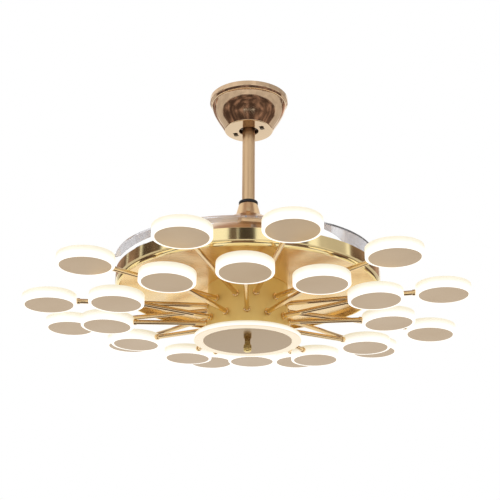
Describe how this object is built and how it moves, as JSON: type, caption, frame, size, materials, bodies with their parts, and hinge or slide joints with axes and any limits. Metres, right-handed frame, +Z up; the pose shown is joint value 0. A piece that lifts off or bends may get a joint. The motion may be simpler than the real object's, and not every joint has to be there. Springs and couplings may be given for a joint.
{
  "type": "chandelier ceiling fan",
  "caption": "Ceiling fan with clear folding blades above a gold drum, and rings of opal disc lamps on rods that spread from a central hub, hung by a downrod and canopy.",
  "frame": {"origin": "centre of the ceiling bracket's bolt pattern, on the ceiling plane", "axes": "+Z up along the downrod into the ceiling, -Y towards the front as pictured"},
  "size_m": [0.8299, 0.8321, 0.5385],
  "materials": {
    "polished_gold": "polished gold plate on steel",
    "rose_gold": "champagne gold plate on steel",
    "champagne_plate": "anodised, fine satin",
    "opal_acrylic": "opal, lit from inside",
    "clear_acrylic": "clear, gloss",
    "black_rubber": "moulded",
    "plated_steel": "zinc plate",
    "motor_casting": "cast and sheet",
    "stator_iron": "laminated, dark",
    "winding_copper": "enamelled copper",
    "white_nylon": "moulded",
    "grey_nylon": "moulded",
    "board_white": "white solder mask"
  },
  "bodies": {
    "ceiling_mount": {"hanger_bracket": "plated_steel", "receiver_box": "grey_nylon", "canopy": "rose_gold", "canopy_screws": "plated_steel"},
    "ball_joint": {"ball_liner": "white_nylon"},
    "hanging_frame": {"hanger_ball": "grey_nylon", "hanger_pin": "plated_steel", "downrod": "rose_gold", "rubber_ring": "black_rubber", "neck_cover": "rose_gold", "neck_screw": "plated_steel", "coupling_collar": "plated_steel", "coupling_bolt": "plated_steel", "motor_shaft": "plated_steel", "stator_core": "stator_iron", "stator_windings": "winding_copper", "bearing_inner_races": "plated_steel", "bearing_balls": "plated_steel", "lamp_carrier": "plated_steel", "shaft_nut": "plated_steel", "drum_band": "polished_gold", "base_plate": "polished_gold", "base_screws": "plated_steel", "hub": "polished_gold", "led_driver": "grey_nylon", "outer_rods": "polished_gold", "inner_rods": "polished_gold", "rod_nuts": "polished_gold", "lamp_ferrules": "polished_gold", "lamp_diffusers": "opal_acrylic", "lamp_plates": "champagne_plate", "lamp_led_boards": "board_white", "centre_pan": "plated_steel", "centre_diffuser": "opal_acrylic", "centre_plate": "champagne_plate", "centre_led_board": "board_white", "finial": "polished_gold"},
    "rotor": {"motor_cover": "rose_gold", "upper_housing": "motor_casting", "lower_housing": "motor_casting", "rotor_magnets": "stator_iron", "bearing_outer_races": "plated_steel", "rotor_screws": "plated_steel", "blade_tray": "motor_casting", "pivot_pins": "plated_steel", "stop_pads": "black_rubber", "return_springs": "plated_steel"},
    "sync_ring": {"sync_ring": "white_nylon"},
    "blade_1": {"blade_1_panel": "clear_acrylic", "blade_1_holder": "white_nylon", "blade_1_screws": "plated_steel"},
    "blade_2": {"blade_2_panel": "clear_acrylic", "blade_2_holder": "white_nylon", "blade_2_screws": "plated_steel"},
    "blade_3": {"blade_3_panel": "clear_acrylic", "blade_3_holder": "white_nylon", "blade_3_screws": "plated_steel"},
    "blade_4": {"blade_4_panel": "clear_acrylic", "blade_4_holder": "white_nylon", "blade_4_screws": "plated_steel"}
  },
  "joints": [
    {"name": "swing_fore_aft", "type": "hinge", "parent": "ceiling_mount", "child": "ball_joint", "pos_m": [0, 0, -0.044], "axis": [1, 0, 0], "range_deg": [-8, 8]},
    {"name": "swing_side", "type": "hinge", "parent": "ball_joint", "child": "hanging_frame", "pos_m": [0, 0, -0.044], "axis": [0, 1, 0], "range_deg": [-8, 8]},
    {"name": "fan_spin", "type": "hinge", "parent": "hanging_frame", "child": "rotor", "pos_m": [0, 0, -0.346], "axis": [0, 0, 1], "continuous": true},
    {"name": "blade_1_fold", "type": "hinge", "parent": "rotor", "child": "blade_1", "pos_m": [0.05847, -0.19126, -0.365], "axis": [0, 0, 1], "range_deg": [0, 125], "stiffness_Nm_per_rad": 0.08, "springref_deg": -11.46},
    {"name": "blade_2_fold", "type": "hinge", "parent": "rotor", "child": "blade_2", "pos_m": [0.19126, 0.05847, -0.365], "axis": [0, 0, 1], "range_deg": [0, 125], "stiffness_Nm_per_rad": 0.08, "springref_deg": -11.46},
    {"name": "blade_3_fold", "type": "hinge", "parent": "rotor", "child": "blade_3", "pos_m": [-0.05847, 0.19126, -0.365], "axis": [0, 0, 1], "range_deg": [0, 125], "stiffness_Nm_per_rad": 0.08, "springref_deg": -11.46},
    {"name": "blade_4_fold", "type": "hinge", "parent": "rotor", "child": "blade_4", "pos_m": [-0.19126, -0.05847, -0.365], "axis": [0, 0, 1], "range_deg": [0, 125], "stiffness_Nm_per_rad": 0.08, "springref_deg": -11.46},
    {"name": "sync_ring_turn", "type": "hinge", "parent": "rotor", "child": "sync_ring", "pos_m": [0, 0, -0.3825], "axis": [0, 0, 1], "range_deg": [-22.1, 0.05]}
  ],
  "couplings": [
    {"joint": "blade_2_fold", "follows": "blade_1_fold", "ratio": 1},
    {"joint": "blade_3_fold", "follows": "blade_1_fold", "ratio": 1},
    {"joint": "blade_4_fold", "follows": "blade_1_fold", "ratio": 1},
    {"joint": "sync_ring_turn", "follows": "blade_1_fold", "ratio": -0.17647}
  ]
}
